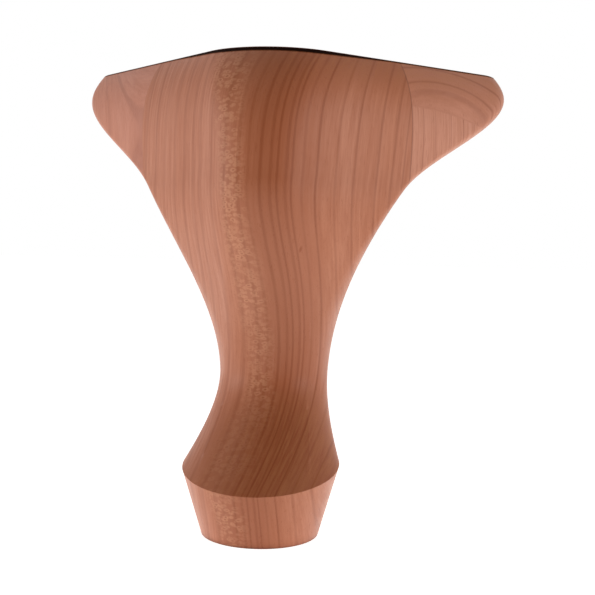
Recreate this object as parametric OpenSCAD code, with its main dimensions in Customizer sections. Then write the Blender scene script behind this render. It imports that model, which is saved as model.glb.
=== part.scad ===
// Cabriole furniture leg with two ears, for the corner of a sofa or chair frame.
// Three glued pieces of cherry: the shaped post and an ear block on each of its back faces.
// The outline is drawn in the sawyer's frame: p runs along the right ear, q along the left ear,
// and the whole is turned 45 degrees so that the knee's corner faces the front (-Y).
// The origin is the middle of the foot's underside.

/* [Leg] */
// Overall height from the floor to the top face
leg_h = 152; // [140:1:200]
// From the foot's axis out to each of the post's two glue faces
post_reach = 41; // [37:0.5:48]

/* [Foot] */
// Diameter of the foot at its rim, the crisp edge round its top
rim_d = 50; // [44:0.5:54]
// Height of the rim, at the foot's axis
rim_h = 22.5; // [18:0.5:27]
// How much the rim rises from front to back, for each millimetre of depth
rim_rise = 0.2; // [0:0.01:0.24]
// Diameter of the foot where it meets the floor
foot_d = 37.5; // [30:0.5:42]
// Radius of the eased edge round the foot's underside
foot_ease = 0.6; // [0.5:0.1:2]
// How steeply the toe runs back from the rim, for each millimetre of height
toe_slope = 1.15; // [0.8:0.05:1.6]
// How steeply the heel runs back from the rim, for each millimetre of height
heel_slope = 0.5; // [0.2:0.05:0.8]

/* [Ankle] */
// Height where the front line is furthest back
ankle_h = 50; // [45:1:56]
// How far the front line stands before the foot's axis there
ankle_front = 3; // [1:0.5:7]
// Height where the back line is straight up
heel_h = 54; // [50:1:60]
// How far the back line stands behind the foot's axis there
ankle_back = 33.5; // [29:0.5:35]

/* [Knee] */
// How far below the top the knee is fullest
knee_drop = 40; // [34:1:44]
// How far the front line stands before the foot's axis there
knee_front = 21.5; // [18:0.5:27]
// Radius of the knee's front corner
knee_r = 18; // [12:0.5:22]
// How far the front line stands before the foot's axis at the top
top_front = 15; // [10:0.5:18]
// How steeply the front line runs back at the top, for each millimetre of height
top_slope = 0.75; // [0.5:0.05:1.1]
// Radius of the front corner at the top
top_r = 25; // [18:0.5:28]

/* [Ears] */
// From the foot's axis out to the nose of each ear
ear_reach = 93; // [82:1:104]
// How far below the top the nose is
nose_drop = 5.5; // [4:0.5:9]
// How far the end of the ear draws in from the nose up to the top
nose_tuck = 1.5; // [0.5:0.25:4]
// How far below the top the ear's underside leaves the post
root_drop = 42; // [40:0.5:46]
// How steeply the underside runs out there, for each millimetre of height
root_slope = 0.85; // [0.5:0.05:1.2]
// Radius of the edge between the knee and the ear's underside, at its root
root_r = 5; // [4:0.5:9]
// Radius of the ear's outer front corner, at its nose
nose_r = 11; // [7:0.5:13]
// Thickness of each ear, from the knee's fullest line to its flat inner face
ear_t = 38; // [32:1:44]

/* [Fixing] */
// Diameter of the pilot hole for a hanger bolt, in the middle of the post's top
pilot_d = 6.4; // [5:0.1:8]
// Depth of that hole
pilot_depth = 38; // [30:1:45]

/* [Hidden] */

wood = "#b4795a";
back_ease = 3; // radius of the post's back corner
rim_r = rim_d / 2;
foot_r = foot_d / 2;
knee_h = leg_h - knee_drop;
nose_h = leg_h - nose_drop;
root_h = leg_h - root_drop;
ear_inner = ear_t - knee_front; // the ear's flat inner face, from the foot's axis
ankle_r = (ankle_back + ankle_front) / 2; // the ankle is as good as round
pilot_set = (post_reach - top_front) / 2; // middle of the post's top, along p and along q

// Points on each ring of the post, from the knee's corner round to the glue face and on to the back
front_steps = 20;
back_steps = 7;
// Points on each ring of an ear, from the glue line round its nose to its inner face
ear_steps = 18;
// Rings in each stretch of height
toe_rings = 12;
calf_rings = 16;
ear_rings = 16;
nose_rings = 4;
// Round corners share out the points as if their radius were this much larger, so that they get more
crowd = 12;

// Cubic curve of v against z, from (z0, v0) with slope m0 to (z1, v1) with slope m1
function sweep(z, z0, v0, m0, z1, v1, m1) =
    let (h = z1 - z0, t = (z - z0) / h)
    (1 + 2 * t) * pow(1 - t, 2) * v0 + t * pow(1 - t, 2) * h * m0
    + t * t * (3 - 2 * t) * v1 + t * t * (t - 1) * h * m1;

// Front line of both faces: toe, ankle, knee and the fall back to the top
function front_line(z) =
    z < ankle_h ? sweep(z, rim_h, -rim_r, toe_slope, ankle_h, -ankle_front, 0)
    : z < knee_h ? sweep(z, ankle_h, -ankle_front, 0, knee_h, -knee_front, 0)
    : sweep(z, knee_h, -knee_front, 0, leg_h, -top_front, top_slope);

// Back line of both faces: heel, ankle, calf, the ear's underside and its nose
function back_line(z) =
    z < heel_h ? sweep(z, rim_h, rim_r, heel_slope, heel_h, ankle_back, 0)
    : z < root_h ? sweep(z, heel_h, ankle_back, 0, root_h, post_reach, root_slope)
    : z < nose_h ? sweep(z, root_h, post_reach, root_slope, nose_h, ear_reach, 0)
    : ear_reach - nose_tuck * pow((z - nose_h) / nose_drop, 2);

// Radius of the front corner
function corner_r(z) =
    z < ankle_h ? sweep(z, rim_h, rim_r, 0, ankle_h, ankle_r, 0)
    : z < knee_h ? sweep(z, ankle_h, ankle_r, 0, knee_h, knee_r, 0)
    : sweep(z, knee_h, knee_r, 0, leg_h, top_r, 0);

// Radius of the two side corners, which are the ears' outer corners higher up
function side_r(z) =
    z < ankle_h ? sweep(z, rim_h, rim_r, 0, ankle_h, ankle_r, 0)
    : z < root_h ? sweep(z, ankle_h, ankle_r, 0, root_h, root_r, 0)
    : z < nose_h ? sweep(z, root_h, root_r, 0, nose_h, nose_r, 0)
    : nose_r;

// Radius of the back corner, from the round heel to the post's square back
function heel_r(z) =
    z < ankle_h ? sweep(z, rim_h, rim_r, 0, ankle_h, ankle_r, 0)
    : z < root_h ? sweep(z, ankle_h, ankle_r, 0, root_h, back_ease, 0)
    : back_ease;

// A radius never passes half of the section's width
function fit_r(r, z) = min(r, (back_line(z) - front_line(z)) / 2);

// How much of the side corner's quarter turn lies on the post, short of the glue face
function turn_on_post(b, r) =
    b <= post_reach ? 90 : b - r >= post_reach ? 0 : asin((post_reach - b + r) / r);

// Length that a round corner counts for when the points are shared out, and the angle for such a length
function length_of(r, angle) = (r + crowd) * angle * PI / 180;
function angle_of(r, length) = length / (r + crowd) * 180 / PI;
function on_circle(p, q, r, angle) = [p + r * cos(angle), q + r * sin(angle)];

// Right half of a section of the post at height z, from the middle of the front corner to the glue face
function front_path(z) =
    let (f = front_line(z), b = back_line(z), r = fit_r(corner_r(z), z), s = fit_r(side_r(z), z),
         turn = turn_on_post(b, s), arc = length_of(r, 45), flat = min(b - s, post_reach) - f - r,
         whole = arc + flat + length_of(s, turn))
    [for (i = [0:front_steps]) let (d = whole * i / front_steps)
        d < arc ? on_circle(f + r, f + r, r, 225 + angle_of(r, d))
        : d < arc + flat || turn == 0 ? [f + r + d - arc, f]
        : on_circle(b - s, f + s, s, 270 + min(angle_of(s, d - arc - flat), turn))];

// The same half from there to the middle of the back corner
function back_path(z) =
    let (f = front_line(z), b = back_line(z), s = fit_r(side_r(z), z), r = fit_r(heel_r(z), z),
         back = min(b, post_reach), start = f + s - s * cos(turn_on_post(b, s)),
         flat = back - r - start, whole = flat + length_of(r, 45))
    [for (i = [1:back_steps]) let (d = whole * i / back_steps)
        d < flat ? [back, start + d] : on_circle(back - r, back - r, r, angle_of(r, d - flat))];

// Whole section of the post, counter-clockwise seen from above
function post_section(z) =
    let (half = concat(front_path(z), back_path(z)))
    concat(half, [for (i = [len(half) - 2:-1:1]) [half[i][1], half[i][0]]]);

// The rings lean with the rim at the foot and come level at the ankle
function lean(z) = z < ankle_h ? rim_rise * pow((ankle_h - z) / (ankle_h - rim_h), 2) : 0;
function post_ring(z) =
    let (mid = front_line(z) + back_line(z))
    [for (c = post_section(z)) [c[0], c[1], z + lean(z) * (c[0] + c[1] - mid) / sqrt(2)]];

// A level ring of the foot below its rim, with its points spaced as on the rim
function foot_ring(r, z) = [for (c = post_section(rim_h)) [c[0] * r / rim_r, c[1] * r / rim_r, z]];

// Heights of the rings in a stretch: evenly spaced, or closer together at its start if bunch is over 1
function heights(from, to, count, bunch = 1) =
    [for (i = [1:count]) from + (to - from) * pow(i / count, bunch)];
upper_heights = concat(heights(root_h, nose_h, ear_rings, 1.4), heights(nose_h, leg_h, nose_rings));
lower_heights = concat([rim_h], heights(rim_h, ankle_h, toe_rings), heights(ankle_h, root_h, calf_rings));
post_heights = concat(lower_heights, upper_heights);

// Side faces between rings that all have the same number of points
function skin(rings, count, id) =
    [for (k = [0:rings - 2], i = [0:count - 1], side = [0, 1])
        let (a = id(k, i), b = id(k, (i + 1) % count), c = id(k + 1, (i + 1) % count), d = id(k + 1, i))
        if (side == 0 || a != b) side == 0 ? [a, d, c] : [a, c, b]];

// Flat face across a ring, in strips between its two halves
function cap(first, count, up) =
    [for (i = [0:floor(count / 2) - 1], side = [0, 1])
        let (a = first + i, b = a + 1, c = first + count - i - 1, d = c + 1)
        if (side == 0 ? b != c : i > 0) side == 0 ? (up ? [b, a, c] : [a, b, c]) : up ? [a, d, c] : [d, a, c]];

module post_form() {
    ease = [for (turn = [0, 45, 90]) foot_ring(foot_r - foot_ease * (1 - sin(turn)), foot_ease * (1 - cos(turn)))];
    rings = concat(ease, [for (z = post_heights) post_ring(z)]);
    count = len(rings[0]);
    polyhedron(
        [for (ring = rings) each ring],
        concat(
            cap(0, count, false),
            skin(len(rings), count, function (k, i) k * count + i),
            cap((len(rings) - 1) * count, count, true)
        ),
        convexity = 6
    );
}

// Outline of an ear at height z, from the glue line round the nose to the inner face
function ear_path(z) =
    let (f = front_line(z), b = back_line(z), s = side_r(z), turn = turn_on_post(b, s),
         flat = max(b - s - post_reach, 0), arc = length_of(s, 90 - turn), whole = flat + arc + ear_inner - f - s)
    [for (i = [0:ear_steps]) let (d = whole * i / ear_steps)
        d < flat ? [post_reach + d, f]
        : d < flat + arc ? on_circle(b - s, f + s, s, 270 + turn + angle_of(s, d - flat))
        : [b, f + s + d - flat - arc]];

// The ear closes to a line at its root, where the underside leaves the post
module ear_form() {
    root = [for (c = ear_path(root_h)) [post_reach, c[1], root_h]];
    rings = [for (z = upper_heights) let (path = ear_path(z))
        [for (i = [0:2 * ear_steps])
            i <= ear_steps ? [path[i][0], path[i][1], z]
            : [post_reach, path[0][1] + (ear_inner - path[0][1]) * (2 * ear_steps + 1 - i) / ear_steps, z]]];
    count = 2 * ear_steps + 1;
    polyhedron(
        concat(root, [for (ring = rings) each ring]),
        concat(
            skin(len(rings) + 1, count, function (k, i)
                k > 0 ? ear_steps + 1 + (k - 1) * count + i : i <= ear_steps ? i : count - i),
            cap(ear_steps + 1 + (len(rings) - 1) * count, count, true)
        ),
        convexity = 4
    );
}

module pilot_hole() {
    over = 1; // runs past the top face
    translate([pilot_set, pilot_set, leg_h - pilot_depth])
        cylinder(d = pilot_d, h = pilot_depth + over, $fn = 48);
}

module leg_post() {
    color(wood) rotate([0, 0, 45]) difference() {
        post_form();
        pilot_hole();
    }
}

module right_ear() {
    color(wood) rotate([0, 0, 45]) ear_form();
}

module left_ear() {
    color(wood) mirror([1, 0, 0]) rotate([0, 0, 45]) ear_form();
}

leg_post();
right_ear();
left_ear();
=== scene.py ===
import math

import bmesh
import bpy
from mathutils import Matrix, Vector


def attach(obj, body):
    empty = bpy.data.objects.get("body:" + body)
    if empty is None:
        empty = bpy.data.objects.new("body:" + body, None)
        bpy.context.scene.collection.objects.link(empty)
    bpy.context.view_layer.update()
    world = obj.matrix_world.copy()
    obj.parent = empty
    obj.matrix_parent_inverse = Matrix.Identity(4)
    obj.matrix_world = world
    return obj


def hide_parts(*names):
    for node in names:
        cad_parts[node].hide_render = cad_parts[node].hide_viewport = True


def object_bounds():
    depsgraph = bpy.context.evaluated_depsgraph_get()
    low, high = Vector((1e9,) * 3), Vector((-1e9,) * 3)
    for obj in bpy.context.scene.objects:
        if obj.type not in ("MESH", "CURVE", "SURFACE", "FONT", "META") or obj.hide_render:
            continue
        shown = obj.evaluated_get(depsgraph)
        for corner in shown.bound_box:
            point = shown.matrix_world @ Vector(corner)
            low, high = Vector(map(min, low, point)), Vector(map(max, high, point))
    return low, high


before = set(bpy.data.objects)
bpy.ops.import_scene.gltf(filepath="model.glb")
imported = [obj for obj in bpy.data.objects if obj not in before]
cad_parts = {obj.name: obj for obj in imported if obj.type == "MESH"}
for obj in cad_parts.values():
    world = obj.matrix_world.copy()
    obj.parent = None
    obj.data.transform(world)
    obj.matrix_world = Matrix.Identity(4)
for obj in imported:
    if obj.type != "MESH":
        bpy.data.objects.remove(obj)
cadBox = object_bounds()
print("frame loaded")

mm = 0.001  # the frame is in metres, the leg below in millimetres


def linear(hexColour):  # an sRGB hex colour as linear red, green, blue and alpha
    parts = [int(hexColour[i:i + 2], 16) / 255 for i in (1, 3, 5)]
    return [c / 12.92 if c <= 0.04045 else ((c + 0.055) / 1.055) ** 2.4 for c in parts] + [1.0]


def add(tree, kind, inputs=(), **settings):  # one node, its settings, and its inputs as values or links
    made = tree.nodes.new("ShaderNode" + kind)
    for name, value in settings.items():
        setattr(made, name, value)
    for socket, value in dict(inputs).items():
        if isinstance(value, bpy.types.Node):
            value = value.outputs[0]
        if isinstance(value, bpy.types.NodeSocket):
            tree.links.new(value, made.inputs[socket])
        else:
            made.inputs[socket].default_value = value
    return made


def addObject(name, data):
    made = bpy.data.objects.new(name, data)
    bpy.context.scene.collection.objects.link(made)
    return made


def emptyTree(owner):  # the node tree of a material or of the world, with nothing in it yet
    owner.use_nodes = True
    owner.node_tree.nodes.clear()
    return owner.node_tree


# The leg is drawn as it is sawn: p runs along the right ear, q along the left ear.
# Each line of its outline is a list of (height, distance or radius, slope), joined by smooth curves.
leg = {
    "height": 152.0,
    "glueFace": 41.0,  # from the foot's axis out to each of the post's glue faces
    "front": ((22.5, -25.0, 1.15), (50.0, -3.0, 0.0), (112.0, -21.5, 0.0), (152.0, -15.0, 0.75)),
    "back": ((22.5, 25.0, 0.5), (54.0, 33.5, 0.0), (110.0, 41.0, 0.85), (146.5, 93.0, 0.0)),
    "noseTuck": 1.5,  # how far the end of an ear draws in above its nose
    "cornerRound": ((22.5, 25.0, 0.0), (50.0, 18.25, 0.0), (112.0, 18.0, 0.0), (152.0, 25.0, 0.0)),
    "sideRound": ((22.5, 25.0, 0.0), (50.0, 18.25, 0.0), (110.0, 5.0, 0.0), (146.5, 11.0, 0.0)),
    "heelRound": ((22.5, 25.0, 0.0), (50.0, 18.25, 0.0), (110.0, 3.0, 0.0)),
    "footRadius": 18.75,
    "footEase": 0.6,
    "rimRise": 0.2,  # the rim climbs this much for each millimetre from front to back
    "earInner": 16.5,  # the ears' flat inner faces, from the foot's axis
    "topEase": 0.25,  # the sanded edge round the top face
    "holeRadius": 3.2,  # the pilot hole for the hanger bolt
    "holeDepth": 38.0,
    "stepsFront": 60,  # points of a ring from the front corner to the side, on to the back, and round an ear
    "stepsBack": 20,
    "stepsEar": 54,
    "arcCrowd": 12.0,  # a rounded corner gets the points of one with this much more radius
    "ringsFoot": 6,  # rings up the leg, stretch by stretch
    "ringsAnkle": 40,
    "ringsCalf": 50,
    "ringsEar": 60,
    "ringsTop": 12,
    "earBunch": 1.8,  # over 1, so that the rings are closer together where the ears begin
    "creaseAngle": 32.0,  # edges that turn by more degrees than this look sharp
    "weld": 1e-7,  # points closer than this, in metres, become one
}
rimHeight, ankleHeight = leg["front"][0][0], leg["front"][1][0]
rootHeight, noseHeight = leg["back"][2][0], leg["back"][3][0]
rimRadius = leg["cornerRound"][0][1]
holeMiddle = (leg["glueFace"] + leg["front"][3][1]) / 2  # along p and along q alike
turned = math.sqrt(0.5)  # cosine and sine of the 45 degrees from the sawyer's frame to the frame's own


def follow(line, z):  # value of an outline at a height
    if z >= line[-1][0]:
        return line[-1][1]
    low, high = next((a, b) for a, b in zip(line, line[1:]) if z <= b[0])
    rise = high[0] - low[0]
    t = (z - low[0]) / rise
    return ((1 + 2 * t) * (1 - t) ** 2 * low[1] + t * (1 - t) ** 2 * rise * low[2]
            + t * t * (3 - 2 * t) * high[1] + t * t * (t - 1) * rise * high[2])


def outline(z, inset=0.0):  # front and back lines, and how far round its side corner the post goes
    front = follow(leg["front"], z) + inset
    back = follow(leg["back"], z) - inset
    if z > noseHeight:
        back -= leg["noseTuck"] * ((z - noseHeight) / (leg["height"] - noseHeight)) ** 2
    side = follow(leg["sideRound"], z)
    past = back - leg["glueFace"]  # how far the ear's end stands out from the glue face
    turn = 90.0 if past <= 0 else 0.0 if past >= side else math.degrees(math.asin(1 - past / side))
    return front, back, side, turn


def arcPoint(p, q, radius, angle):  # its angle is in degrees from the right ear's direction
    return p + radius * math.cos(math.radians(angle)), q + radius * math.sin(math.radians(angle))


def shareOut(steps, spans, place):  # points along arc, flat and arc; the arcs get a larger share
    crowd = leg["arcCrowd"]
    firstTurn, firstRound, flat, lastTurn, lastRound = spans
    first = math.radians(firstTurn) * (firstRound + crowd)
    last = math.radians(lastTurn) * (lastRound + crowd)
    points = []
    for i in range(steps + 1):
        along = (first + flat + last) * i / steps
        if along < first:
            points.append(place(0, math.degrees(along / (firstRound + crowd))))
        elif along < first + flat or last == 0:
            points.append(place(1, min(along - first, flat)))
        else:
            points.append(place(2, min(math.degrees((along - first - flat) / (lastRound + crowd)), lastTurn)))
    return points


def postSection(z, inset=0.0):  # right half from the front corner to the back one, then its mirror image
    front, back, side, turn = outline(z, inset)
    corner, heel = follow(leg["cornerRound"], z), follow(leg["heelRound"], z)
    flat = min(back - side, leg["glueFace"]) - front - corner
    spans = (45.0, corner, flat, turn, side)
    half = shareOut(leg["stepsFront"], spans, lambda kind, along: (
        arcPoint(front + corner, front + corner, corner, 225 + along) if kind == 0
        else (front + corner + along, front) if kind == 1
        else arcPoint(back - side, front + side, side, 270 + along)))
    reach = min(back, leg["glueFace"])
    start = front + side - side * math.cos(math.radians(turn))
    rest = reach - heel - start
    for i in range(1, leg["stepsBack"] + 1):
        along = (rest + math.radians(45) * heel) * i / leg["stepsBack"]
        half.append((reach, start + along) if along < rest
                    else arcPoint(reach - heel, reach - heel, heel, math.degrees((along - rest) / heel)))
    return half + [(q, p) for p, q in half[-2:0:-1]]


def spaced(start, end, count, bunch=1.0):  # heights of rings, closer together at the start if bunch is over 1
    return [start + (end - start) * (i / count) ** bunch for i in range(1, count + 1)]


def earHeights():  # of the rings from where the ears begin to the eased edge of the top
    heights = spaced(rootHeight, noseHeight, leg["ringsEar"], leg["earBunch"])
    return heights + spaced(noseHeight, leg["height"] - leg["topEase"], leg["ringsTop"])


def inFrame(p, q, z):  # from the sawyer's millimetres to the frame's metres
    return Vector(((p - q) * turned, (p + q) * turned, z)) * mm


def insideBox(point):  # the point, moved into the CAD's box where it stands out of it by a hair
    return [min(max(value, low), high) for value, low, high in zip(point, *cadBox)]


# Closed rings of points, skinned one to the next, with the last ring capped and the first if asked.
def buildPiece(name, rings, cappedStart, creases=()):
    shape = bmesh.new()
    loops = [[shape.verts.new(insideBox(point)) for point in ring] for ring in rings]
    for lower, upper in zip(loops, loops[1:]):
        for i in range(len(lower)):
            j = (i + 1) % len(lower)
            shape.faces.new((lower[i], lower[j], upper[j], upper[i]))
    for loop, capped in ((loops[0][::-1], cappedStart), (loops[-1], True)):
        if capped:
            shape.faces.new(loop)
    for k in creases:
        for i in range(len(loops[k])):
            shape.edges.get((loops[k][i], loops[k][(i + 1) % len(loops[k])])).smooth = False
    bmesh.ops.remove_doubles(shape, verts=shape.verts, dist=leg["weld"])
    bmesh.ops.recalc_face_normals(shape, faces=shape.faces)
    for face in shape.faces:
        face.smooth = True
    mesh = bpy.data.meshes.new(name)
    shape.to_mesh(mesh)
    shape.free()
    sharp = [edge.use_edge_sharp for edge in mesh.edges]
    mesh.set_sharp_from_angle(angle=math.radians(leg["creaseAngle"]))
    for edge, crease in zip(mesh.edges, sharp):
        edge.use_edge_sharp = edge.use_edge_sharp or crease
    return addObject(name, mesh)


def postRing(z, inset=0.0):  # the rings lean with the rim at the foot and come level at the ankle
    points = postSection(z, inset)
    lean = 0.0
    if z < ankleHeight:
        lean = leg["rimRise"] * ((ankleHeight - z) / (ankleHeight - rimHeight)) ** 2
    middle = follow(leg["front"], z) + follow(leg["back"], z)
    return [inFrame(p, q, z + lean * (p + q - middle) * turned) for p, q in points]


def footRing(radius, z):  # a level ring below the rim, its points spaced as on the rim
    return [inFrame(p * radius / rimRadius, q * radius / rimRadius, z) for p, q in postSection(rimHeight)]


def blendRings(low, high, count):  # the rings between two rings
    return [[a.lerp(b, i / count) for a, b in zip(low, high)] for i in range(1, count)]


def buildPost():
    ease = leg["footEase"]  # the edge is rounded in steps of 15 degrees
    rings = [footRing(leg["footRadius"] - ease * (1 - math.sin(math.radians(turn))),
                      ease * (1 - math.cos(math.radians(turn)))) for turn in range(0, 91, 15)]
    rings += blendRings(rings[-1], postRing(rimHeight), leg["ringsFoot"]) + [postRing(rimHeight)]
    rimAt = len(rings) - 1
    heights = spaced(rimHeight, ankleHeight, leg["ringsAnkle"])
    heights += spaced(ankleHeight, rootHeight, leg["ringsCalf"]) + earHeights()
    rings += [postRing(z) for z in heights]
    rings.append(postRing(leg["height"], leg["topEase"]))
    top = rings[-1]
    middle = inFrame(holeMiddle, holeMiddle, leg["height"])
    lip = [middle + (point - middle).normalized() * leg["holeRadius"] * mm for point in top]
    floor = [point - Vector((0, 0, leg["holeDepth"] * mm)) for point in lip]
    return buildPiece("cherryPost", rings + [lip, floor], True, creases=(rimAt,))


def earPath(z, inset=0.0):  # from the glue line round the nose to the inner face
    front, back, side, turn = outline(z, inset)
    inner = leg["earInner"] - inset
    flat = max(back - side - leg["glueFace"], 0.0)
    crowd = leg["arcCrowd"]
    arc = math.radians(90 - turn) * (side + crowd)
    whole = flat + arc + inner - front - side
    path = []
    for i in range(leg["stepsEar"] + 1):
        along = whole * i / leg["stepsEar"]
        if along < flat:
            path.append((leg["glueFace"] + along, front))
        elif along < flat + arc:
            angle = math.degrees((along - flat) / (side + crowd))
            path.append(arcPoint(back - side, front + side, side, 270 + turn + angle))
        else:
            path.append((back, front + side + along - flat - arc))
    return path


def earRing(z, inset=0.0):  # the path, closed along the glue face
    path = earPath(z, inset)
    steps = leg["stepsEar"]
    return path + [(leg["glueFace"], path[0][1] + (path[-1][1] - path[0][1]) * (steps - i) / steps)
                   for i in range(steps)]


def buildEar(name, mirrored):  # an ear block, from the line where its underside leaves the post up to the top
    steps = leg["stepsEar"]
    root = [(leg["glueFace"], q) for _, q in earPath(rootHeight)]
    root += root[::-1][:steps]
    rings = [(rootHeight, root)] + [(z, earRing(z)) for z in earHeights()]
    rings.append((leg["height"], earRing(leg["height"], leg["topEase"])))
    side = -1 if mirrored else 1
    placed = [[Vector((point.x * side, point.y, point.z)) for point in (inFrame(p, q, z) for p, q in ring)]
              for z, ring in rings]
    return buildPiece(name, placed, False)


def calc(tree, operation, a, b=0.0, c=0.0, clamp=False):
    return add(tree, "Math", {0: a, 1: b, 2: c}, operation=operation, use_clamp=clamp)


def times(tree, *factors):
    made = factors[0]
    for factor in factors[1:]:
        made = calc(tree, "MULTIPLY", made, factor)
    return made


def vector(tree, operation, a, b=(0.0, 0.0, 0.0), scale=1.0):  # gives a number for a length or a dot product
    made = add(tree, "VectorMath", {0: a, 1: b, 3: scale}, operation=operation)
    return made.outputs["Value"] if operation in ("LENGTH", "DOT_PRODUCT") else made


def blendIn(tree, share, below, above):
    return add(tree, "Mix", {0: share, 6: below, 7: above}, data_type="RGBA").outputs[2]


def ramp(tree, value, stops):  # straight steps from (place, level) to (place, level)
    made = add(tree, "ValToRGB", {0: value})
    points = made.color_ramp.elements
    while len(points) < len(stops):
        points.new(0.5)
    for point, (place, level) in zip(points, stops):
        point.position = place
        point.color = (level, level, level, 1.0)
    return made


def noise(tree, at, size, stretch=(1.0, 1.0, 1.0), detail=1.0, roughness=0.5):  # its size is in millimetres
    return add(tree, "TexNoise", {"Vector": vector(tree, "MULTIPLY", at, stretch), "Scale": 1 / size,
                                  "Detail": detail, "Roughness": roughness})


# What the wood of the three pieces has in common. Sizes are in millimetres, and a profile is a ramp's stops.
grain = {
    "pithHeight": 80.0,  # the height at which a look gives the place of its pith
    "waves": {"stretch": (1.0, 1.0, 0.35), "detail": 2.0},
    # fibres and rays are finer in real cherry; they are drawn about as fine as the picture can show
    "fibres": {"stretch": (1.0, 0.08, 0.03), "detail": 4.0, "roughness": 0.7},
    "fibreContrast": (3.2, -1.1),  # gain and offset
    "bands": {"stretch": (1.0, 0.4, 0.06), "detail": 2.0},
    "bandContrast": (2.2, -0.6),
    "rayCell": (2.2, 3.0, 1.15),  # out from the pith, round it and up
    "raySpread": 0.9,
    "bend": {"size": 1.4},  # curls the rays a little
    "patches": {"size": 9.0},  # where the flecks are stronger and weaker
    # real pores are a tenth of a millimetre wide; these are a little wider, so that they show
    "pores": {"size": 0.4, "stretch": (1.0, 1.0, 0.1), "detail": 2.0},
    "markStretch": (1.0, 1.0, 0.45),
    "fewestRings": 0.05,  # for each millimetre, beyond the last ring
    "riftFade": 2.0,  # for each millimetre across the border
    "seamFade": 2.2,
    "lineProfile": ((0.0, 1.0), (0.35, 0.85), (0.65, 0.25), (1.0, 0.0)),
    "rayFacing": ((0.0, 1.0), (0.12, 0.9), (0.3, 0.0), (1.0, 0.0)),
    "patchProfile": ((0.0, 0.4), (0.36, 0.5), (0.56, 1.0), (1.0, 1.0)),
    "curlProfile": ((0.0, 0.0), (0.16, 0.1), (0.3, 1.0), (0.46, 0.8), (0.6, 0.0), (1.0, 0.0)),
    "dotProfile": ((0.0, 1.0), (0.12, 0.9), (0.24, 0.0), (0.5, 0.0), (0.64, 0.25), (1.0, 0.35)),
    "poreProfile": ((0.0, 1.0), (0.3, 1.0), (0.4, 0.0), (1.0, 0.0)),
    "endProfile": ((0.0, 0.0), (0.42, 0.0), (0.78, 1.0), (1.0, 1.0)),
    "markProfile": ((0.0, 0.6), (0.4, 0.5), (1.0, 0.0)),
    "sideProfile": ((0.0, 1.0), (0.8, 1.0), (0.95, 0.0), (1.0, 0.0)),
    # how much of a coat of colour shows
    "riftShare": 0.6,
    "seamShare": 0.12,
    "endFibre": 0.45,
    "rayShare": 0.4,
    "paintedGroundLightShare": 0.2,
    "poreShare": 0.25,
    "frontSteep": 3.0,  # how fast the dark edge ends where the sides turn from front to back
    # how rough the fibres are, and how deep, in millimetres
    "fibreRough": 0.06,
    "fibreGroove": 0.5,
    "bumpStrength": 0.35,
    "bumpDepth": 0.04,
}


def riftPart(tree, look, place, height):  # below a slightly bowed line the rings cross an ear straight up
    x, y, _ = add(tree, "SeparateXYZ", {0: place}).outputs
    outAlong = calc(tree, "MULTIPLY", calc(tree, "ADD", x, y), turned)
    fromGlue = calc(tree, "SUBTRACT", outAlong, leg["glueFace"])
    border = calc(tree, "MULTIPLY_ADD", times(tree, fromGlue, fromGlue), -look["riftBow"], look["riftStart"])
    under = calc(tree, "SUBTRACT", border, height)
    offSeam = calc(tree, "ABSOLUTE", times(tree, under, grain["seamFade"]))
    return {
        "share": calc(tree, "MULTIPLY_ADD", under, grain["riftFade"], 0.5, clamp=True),
        "seam": calc(tree, "SUBTRACT", 1.0, offSeam, clamp=True),
        "radius": calc(tree, "ADD", outAlong, look["riftOffset"]),
    }


def ringsPassed(tree, outTo, years):  # on the way out from the pith, straight between the radii of the rings
    span = years[-1] - years[0]
    made = add(tree, "FloatCurve", {"Value": calc(tree, "MULTIPLY_ADD", outTo, 1 / span, -years[0] / span)})
    curve = made.mapping.curves[0]
    for year, grown in list(enumerate(years))[1:-1]:
        curve.points.new((grown - years[0]) / span, year / (len(years) - 1))
    for point in curve.points:
        point.handle_type = "VECTOR"
    made.mapping.update()
    return times(tree, made, len(years) - 1)


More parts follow.
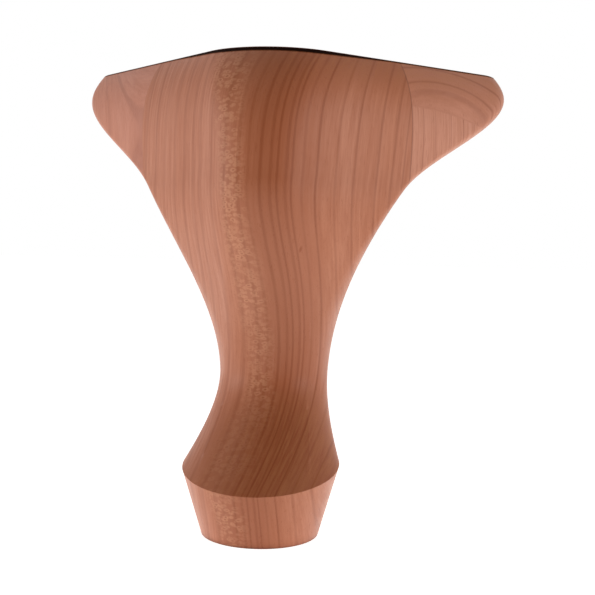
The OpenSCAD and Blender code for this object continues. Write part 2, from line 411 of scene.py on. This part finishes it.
def growthRings(tree, look, place, height):  # cylinders round the pith, which leans a little, and they wave
    leanX, leanY = look["pithLean"]
    axis = add(tree, "CombineXYZ", {
        0: calc(tree, "MULTIPLY_ADD", height, leanX, look["pith"][0] - grain["pithHeight"] * leanX),
        1: calc(tree, "MULTIPLY_ADD", height, leanY, look["pith"][1] - grain["pithHeight"] * leanY)})
    wave = noise(tree, place, look["waveLength"], **grain["waves"])
    shift = vector(tree, "SUBTRACT", wave.outputs["Color"], (0.5, 0.5, 0.5))
    shift = vector(tree, "SCALE", shift, scale=look["waveDepth"])
    waved = vector(tree, "ADD", vector(tree, "SUBTRACT", place, axis), shift)
    flat = vector(tree, "MULTIPLY", waved, (1.0, 1.0, 0.0))
    radius = vector(tree, "LENGTH", flat)
    rift = None
    if look["riftStart"]:
        rift = riftPart(tree, look, vector(tree, "ADD", place, shift), height)
        radius = add(tree, "Mix", {0: rift["share"], 2: radius, 3: rift["radius"]})
    x, y, _ = add(tree, "SeparateXYZ", {0: flat}).outputs
    around = times(tree, calc(tree, "ARCTAN2", y, x), radius)

    ring = ringsPassed(tree, radius, look["rings"])
    further = ringsPassed(tree, calc(tree, "ADD", radius, 1.0), look["rings"])
    perMillimetre = calc(tree, "MAXIMUM", calc(tree, "SUBTRACT", further, ring), grain["fewestRings"])
    offRing = calc(tree, "DIVIDE", calc(tree, "PINGPONG", ring, 0.5), perMillimetre)
    which = add(tree, "TexWhiteNoise", {"W": calc(tree, "ROUND", ring)}, noise_dimensions="1D")
    # the rings' lines are soft where they were cut across and crisp from the heartwood out
    softTo, crispFrom = look["crispFrom"]
    crisp = add(tree, "MapRange", {"Value": radius, "From Min": softTo, "From Max": crispFrom})
    wide, thin = look["lineWidths"]
    share = calc(tree, "DIVIDE", offRing, calc(tree, "MULTIPLY_ADD", crisp, thin - wide, wide))
    line = times(tree, ramp(tree, share, grain["lineProfile"]), calc(tree, "MULTIPLY_ADD", which, 0.5, 0.5))
    return {"flat": flat, "radius": radius, "around": around, "crisp": crisp, "line": line, "rift": rift}


# Rays are thin ribbons that run out from the pith. They show as flecks where the surface lies along them.
def rayFlecks(tree, grainPlace, flat, normal):
    bend = noise(tree, grainPlace, **grain["bend"])
    bent = vector(tree, "ADD", grainPlace, bend.outputs["Color"])
    cells = vector(tree, "MULTIPLY", bent, [1 / size for size in grain["rayCell"]])
    rays = add(tree, "TexVoronoi", {"Vector": cells, "Scale": 1.0, "Randomness": grain["raySpread"]},
               feature="F1")
    facing = calc(tree, "ABSOLUTE", vector(tree, "DOT_PRODUCT", vector(tree, "NORMALIZE", flat), normal))
    patches = ramp(tree, noise(tree, grainPlace, **grain["patches"]), grain["patchProfile"])
    flecked = times(tree, ramp(tree, facing, grain["rayFacing"]), patches)
    curl, dot = (ramp(tree, rays.outputs["Distance"], grain[name]) for name in ("curlProfile", "dotProfile"))
    return flecked, curl, dot


def markShare(tree, place, spot, reach):  # a nick or a pin knot, a little longer than it is wide
    away = vector(tree, "MULTIPLY", vector(tree, "SUBTRACT", place, spot), grain["markStretch"])
    return ramp(tree, times(tree, vector(tree, "LENGTH", away), 1 / reach), grain["markProfile"])


def glueShare(tree, look, x, y, side):  # a thin line where an ear meets the post; side is 1 right and -1 left
    outward = times(tree, calc(tree, "MULTIPLY_ADD", x, side, y), turned)
    offLine = calc(tree, "ABSOLUTE", calc(tree, "SUBTRACT", outward, leg["glueFace"]))
    return calc(tree, "SUBTRACT", 1.0, calc(tree, "DIVIDE", offLine, look["glueWidth"]), clamp=True)


# Painted shadow: the front of the top edge is darkened to near black, deepest at the knee, as a shadow line
# along the edge. The back and the top face have none.
def paintTopEdgeShadow(tree, look, x, height, backward, upright):
    belowTop = calc(tree, "SUBTRACT", leg["height"], height)
    offApex = calc(tree, "ABSOLUTE", calc(tree, "SUBTRACT", x, look["edgeApex"]))
    depth = calc(tree, "MULTIPLY_ADD", offApex, -look["edgeThins"], look["edgeDepth"])
    depth = calc(tree, "MINIMUM", calc(tree, "MAXIMUM", depth, look["edgeLeast"]), look["edgeMost"])
    edge = calc(tree, "DIVIDE", calc(tree, "SUBTRACT", depth, belowTop), look["edgeFade"], clamp=True)
    fromFront = calc(tree, "MULTIPLY_ADD", backward, -grain["frontSteep"], 0.5, clamp=True)
    return times(tree, edge, fromFront, ramp(tree, upright, grain["sideProfile"]))


# Cherry, sawn, carved, sanded and finished with a thin satin oil. The eye reads growth rings as fine
# red-brown lines, a chain of ray flecks down the corner where the rays lie flat in the surface, fibres along
# the leg, a darker streak of heartwood, and darker end grain, which drinks the finish. The end-grain
# darkening falls only on faces that look up, so it is partly painted shade. The top edge carries a painted
# shadow line, and faces that look down get a paler painted light from the ground.
def cherryWood(name, look):
    material = bpy.data.materials.new(name)
    tree = emptyTree(material)
    place = vector(tree, "SCALE", add(tree, "TexCoord").outputs["Object"], scale=1 / mm)
    x, y, height = add(tree, "SeparateXYZ", {0: place}).outputs
    normal = add(tree, "NewGeometry").outputs["Normal"]
    _, backward, upright = add(tree, "SeparateXYZ", {0: normal}).outputs

    rings = growthRings(tree, look, place, height)
    grainPlace = add(tree, "CombineXYZ", {0: rings["radius"], 1: rings["around"], 2: height})
    fibres = noise(tree, grainPlace, look["fibreWidth"], **grain["fibres"])
    fibre = calc(tree, "MULTIPLY_ADD", fibres, *grain["fibreContrast"], clamp=True)
    bands = noise(tree, grainPlace, look["bandWidth"], **grain["bands"])
    band = calc(tree, "MULTIPLY_ADD", bands, *grain["bandContrast"], clamp=True)
    pore = ramp(tree, noise(tree, place, **grain["pores"]), grain["poreProfile"])
    offStreak = calc(tree, "SUBTRACT", rings["radius"], look["streak"])
    offStreak = calc(tree, "DIVIDE", offStreak, look["streakWidth"])
    streak = calc(tree, "SUBTRACT", 1.0, times(tree, offStreak, offStreak), clamp=True)
    # darker where a face looks up along the leaning axis: partly the real end grain, which drinks the finish,
    # and partly painted shade, since faces looking down get none and faces turned to the left get less
    endGrainAndUpShade = ramp(tree, vector(tree, "DOT_PRODUCT", normal, look["endAndShadeAxis"]), grain["endProfile"])
    along = calc(tree, "SUBTRACT", 1.0, endGrainAndUpShade)
    deeper = look["ringDepth"] - look["softDepth"]
    lineDepth = calc(tree, "MULTIPLY_ADD", rings["crisp"], deeper, look["softDepth"])
    flecked, curl, dot = rayFlecks(tree, grainPlace, rings["flat"], normal)
    flecked = times(tree, flecked, along)
    paintedTopEdgeShadow = paintTopEdgeShadow(tree, look, x, height, backward, upright)

    # coats of colour, one over the other, each with how much of it shows
    coats = [(band, "warm")]
    if rings["rift"]:
        coats.append((times(tree, rings["rift"]["share"], grain["riftShare"]), "riftPale"))
        coats.append((times(tree, rings["rift"]["seam"], grain["seamShare"]), "ring"))
    coats += [
        (times(tree, streak, look["streakDepth"]), "dark"),
        (times(tree, endGrainAndUpShade, look["endAndShadeDepth"]), "end"),
        (times(tree, fibre, along, look["fibreDepth"]), "fibre"),
        (times(tree, fibre, endGrainAndUpShade, grain["endFibre"]), "endPale"),
        (calc(tree, "MULTIPLY", rings["line"], lineDepth, clamp=True), "ring"),
        (times(tree, flecked, curl, grain["rayShare"]), "rayPale"),
        (times(tree, flecked, dot, grain["rayShare"]), "rayDark"),
        # faces looking down are blended toward the under colour: painted light from the pale ground
        (calc(tree, "MULTIPLY", upright, -grain["paintedGroundLightShare"], clamp=True), "under"),
        (times(tree, pore, grain["poreShare"]), "ring"),
    ]
    coats += [(markShare(tree, place, spot, reach), "ring") for spot, reach in look["marks"]]
    coats += [(times(tree, glueShare(tree, look, x, y, side), depth), "glue")
              for side, depth in ((1.0, look["glueRight"]), (-1.0, look["glueLeft"]))]
    # the near-black edge coat is painted shadow along the top edge
    coats.append((paintedTopEdgeShadow, "edge"))
    colour = linear(look["pale"])
    for share, coat in coats:
        colour = blendIn(tree, share, colour, linear(look[coat]))

    # along the painted shadow line the surface is made fully rough and its specular tint goes near black, so
    # no reflection lightens the painted shadow
    rough = calc(tree, "MAXIMUM", times(tree, fibre, grain["fibreRough"]), paintedTopEdgeShadow)
    grooves = calc(tree, "ADD", times(tree, fibre, -grain["fibreGroove"]), times(tree, pore, -1.0))
    surface = add(tree, "BsdfPrincipled", {
        "Base Color": colour,
        "Roughness": calc(tree, "ADD", look["rough"], rough, clamp=True),
        "Normal": add(tree, "Bump", {"Strength": grain["bumpStrength"], "Distance": grain["bumpDepth"] * mm,
                                     "Height": grooves}),
        "IOR": 1.5,
        "Specular IOR Level": look["gloss"],
        "Specular Tint": blendIn(tree, paintedTopEdgeShadow, (1.0, 1.0, 1.0, 1.0), linear(look["edge"]))})
    add(tree, "OutputMaterial", {"Surface": surface})
    return material


post = {
    "pith": (-100.0, 14.6),  # in millimetres
    "pithLean": (0.088, 0.099),  # for each millimetre of height
    # radii of the growth rings, in millimetres, as their lines lie in the photograph
    "rings": (44.0, 49.5, 54.0, 59.5, 64.5, 70.0, 75.0, 80.0, 83.5, 89.5, 95.5, 100.5, 103.5, 107.0,
              109.5, 111.0, 113.0, 114.0, 116.0, 118.5, 122.5, 126.5, 132.0, 136.0, 139.0, 143.5, 150.0),
    "waveLength": 42.0, "waveDepth": 0.9,
    "fibreWidth": 0.8, "bandWidth": 11.0,
    "pale": "#B07155", "warm": "#AC6949", "fibre": "#934F2F", "ring": "#7C3914",
    "dark": "#8F4A26", "streak": 111.0, "streakWidth": 11.0, "streakDepth": 0.7,
    # the end colour is partly end grain and partly painted shade on faces that look up; the axis leans to the
    # right, so faces turned left get less of it
    "end": "#823C16", "endAndShadeDepth": 0.68, "endPale": "#AD7046", "endAndShadeAxis": (0.3, 0.0, 0.95),
    "rayPale": "#C68E6A", "rayDark": "#70341A",
    "fibreDepth": 0.62, "softDepth": 0.36, "ringDepth": 0.66,
    "crispFrom": (96.0, 112.0),  # radii where the rings' lines begin to be crisp, and are
    "lineWidths": (1.1, 0.5),  # half the width of a soft line and of a crisp one
    "under": "#C9A08C",  # painted light: where the surface looks down it is paler, as if the pale ground shone on it
    "riftStart": None,
    "glue": "#5E2F1C", "glueWidth": 0.35, "glueRight": 0.6, "glueLeft": 0.12,
    # the edge colour and the edge depths below give the painted shadow along the top edge
    "edge": "#160502", "edgeDepth": 2.35, "edgeApex": 2.0, "edgeThins": 0.043,
    "edgeLeast": 0.8, "edgeMost": 1.75, "edgeFade": 0.5,
    "marks": (((16.8, 27.1, 43.5), 1.8), ((12.8, -10.7, 91.0), 0.8)),  # place and reach
    "rough": 0.42, "gloss": 0.22,
}
rightEar = {
    **post,
    "pith": (130.2, -53.8), "pithLean": (0.0, 0.0),
    "rings": (90.0, 96.0, 102.0, 107.0, 110.5, 111.7, 114.5, 118.0, 130.0,
              190.0, 196.0, 201.2, 208.4, 214.0, 219.0, 226.0, 245.0),  # these are the rift-sawn part's
    "waveDepth": 0.5,
    "riftStart": 137.4, "riftBow": 0.0045, "riftOffset": 150.0, "riftPale": "#C08369",
    "pale": "#B97D65", "warm": "#B47356", "fibre": "#A26347", "ring": "#7F4027",
    "softDepth": 0.5, "ringDepth": 0.5, "lineWidths": (0.4, 0.4),
    "streakDepth": 0.0, "endAndShadeDepth": 0.4, "glueLeft": 0.0, "marks": (),
}
leftEar = {
    **post,
    "pith": (11.3, 69.3), "pithLean": (0.0, 0.0),
    "rings": (50.0, 60.0, 70.0, 78.9, 82.6, 87.0, 92.0, 98.0, 105.0, 120.0),
    "waveDepth": 0.5,
    "pale": "#B87A63", "warm": "#B27056", "fibre": "#A4644B", "ring": "#7F402A",
    "softDepth": 0.4, "ringDepth": 0.4, "lineWidths": (0.4, 0.4),
    "streakDepth": 0.0, "endAndShadeDepth": 0.4, "glueRight": 0.0, "marks": (),
}

for piece, nodeName, slotName, materialName, look in (
        (buildPost(), "leg_post", "post_wood", "satin cherry, post", post),
        (buildEar("cherryEarRight", False), "right_ear", "right_ear_wood",
         "satin cherry, right ear", rightEar),
        (buildEar("cherryEarLeft", True), "left_ear", "left_ear_wood",
         "satin cherry, left ear", leftEar)):
    piece.data.materials.append(cherryWood(materialName, look))
    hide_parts(nodeName)
    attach(piece, "root")
    print(piece.name, "built,", len(piece.data.polygons), "faces")


studio = {
    "white": "#FFFFFF",
    "floor": "#F4F2F0",
    "floorSize": 6.0,
    "around": 0.6,  # strength of the white room's walls, as the leg is lit by them
    "front": 0.6,  # the wall behind the camera is dimmer
    "frontFade": (-1.0, -0.2),  # how far ahead it ends and the other walls begin; 1 is straight ahead
    "ceiling": 0.37,
    "ceilingFade": (0.05, 0.7),  # how far up the walls end and the ceiling begins; 1 is straight up
    "floorGlow": 0.84,  # what the camera sees on top of the floor's own light, to make it white
    "lamps": (  # place, what it looks at, size and power
        ((-0.75, -0.15, 0.10), (0.0, 0.0, 0.08), 0.60, 3.15),
        ((0.75, -0.15, 0.10), (0.0, 0.0, 0.08), 0.60, 3.6),
        ((-0.30, -0.12, 0.05), (0.0, 0.0, 0.03), 0.15, 0.13),
        ((0.0, -0.1, 0.0002), (0.0, -0.1, 1.0), 1.0, 2.45),  # on the floor, shining up as a light table does
    ),
}


def paleFloor():
    half = studio["floorSize"] / 2
    shape = bmesh.new()
    corners = ((-half, -half), (half, -half), (half, half), (-half, half))
    shape.faces.new([shape.verts.new((x, y, 0.0)) for x, y in corners])
    mesh = bpy.data.meshes.new("paperFloor")
    shape.to_mesh(mesh)
    shape.free()
    floor = addObject("paperFloor", mesh)
    material = bpy.data.materials.new("matte white paper")  # an even pale ground that takes a soft shadow
    tree = emptyTree(material)
    paper = add(tree, "BsdfDiffuse", {"Color": linear(studio["floor"])})
    path = add(tree, "LightPath")
    shown = calc(tree, "MAXIMUM", path.outputs["Is Camera Ray"], path.outputs["Is Glossy Ray"])
    seen = times(tree, shown, studio["floorGlow"])
    glow = add(tree, "Emission", {"Color": linear(studio["white"]), "Strength": seen})
    add(tree, "OutputMaterial", {"Surface": add(tree, "AddShader", {0: paper, 1: glow})})
    mesh.materials.append(material)


def whiteRoom():  # what the camera sees is plain white, and what lights the leg is a room of pale walls
    world = bpy.data.worlds.new("whiteRoom")
    bpy.context.scene.world = world
    tree = emptyTree(world)
    path = add(tree, "LightPath")
    way = add(tree, "SeparateXYZ", {0: add(tree, "TexCoord").outputs["Generated"]})
    dimEnds, fullBegins = studio["frontFade"]
    wallsEnd, ceilingBegins = studio["ceilingFade"]
    walls = add(tree, "MapRange", {"Value": way.outputs[1], "From Min": dimEnds, "From Max": fullBegins,
                                   "To Min": studio["front"], "To Max": 1.0})
    above = add(tree, "MapRange", {"Value": way.outputs[2], "From Min": wallsEnd, "From Max": ceilingBegins,
                                   "To Min": 1.0, "To Max": studio["ceiling"]})
    room = times(tree, walls, above, studio["around"])
    shown = calc(tree, "MAXIMUM", path.outputs["Is Camera Ray"], path.outputs["Is Glossy Ray"])
    shown = calc(tree, "MAXIMUM", shown, path.outputs["Is Transmission Ray"])
    strength = add(tree, "Mix", {0: shown, 2: room, 3: 1.0})
    background = add(tree, "Background", {"Color": linear(studio["white"]), "Strength": strength})
    add(tree, "OutputWorld", {"Surface": background})


def softLamps():
    for number, (place, aim, size, power) in enumerate(studio["lamps"]):
        light = bpy.data.lights.new(f"softbox{number}", "AREA")
        light.size = size
        light.energy = power
        lamp = addObject(f"softbox{number}", light)
        lamp.location = place
        lamp.rotation_euler = (Vector(aim) - Vector(place)).to_track_quat("-Z", "Y").to_euler()


# The camera stands where the photograph was taken from, read off the leg's outline.
camera = {
    "distance": 333.07,  # from the foot's axis, in millimetres
    "swing": 8.239,  # degrees to the right of straight ahead
    "aside": 10.477,  # millimetres to the right of that line
    "height": 95.83,
    "pitch": -3.473,
    "roll": 1.292,
    "focal": 63.851,
    "sensor": 36.0,
    "farthest": 20.0,  # metres, past the far edge of the floor
}


def photoCamera():
    data = bpy.data.cameras.new("photoCamera")
    data.sensor_width = camera["sensor"]
    data.lens = camera["focal"]
    data.clip_end = camera["farthest"]
    eye = addObject("photoCamera", data)
    swing, pitch, roll = (math.radians(camera[name]) for name in ("swing", "pitch", "roll"))
    swung = Matrix.Rotation(swing, 4, "Z")
    turn = swung @ Matrix.Rotation(math.pi / 2 + pitch, 4, "X") @ Matrix.Rotation(roll, 4, "Z")
    place = swung @ Vector((camera["aside"], -camera["distance"], camera["height"]))
    eye.matrix_world = Matrix.Translation(place * mm) @ turn
    bpy.context.scene.camera = eye


paleFloor()
whiteRoom()
softLamps()
photoCamera()
bpy.context.scene.view_settings.view_transform = "Standard"
print("studio set")
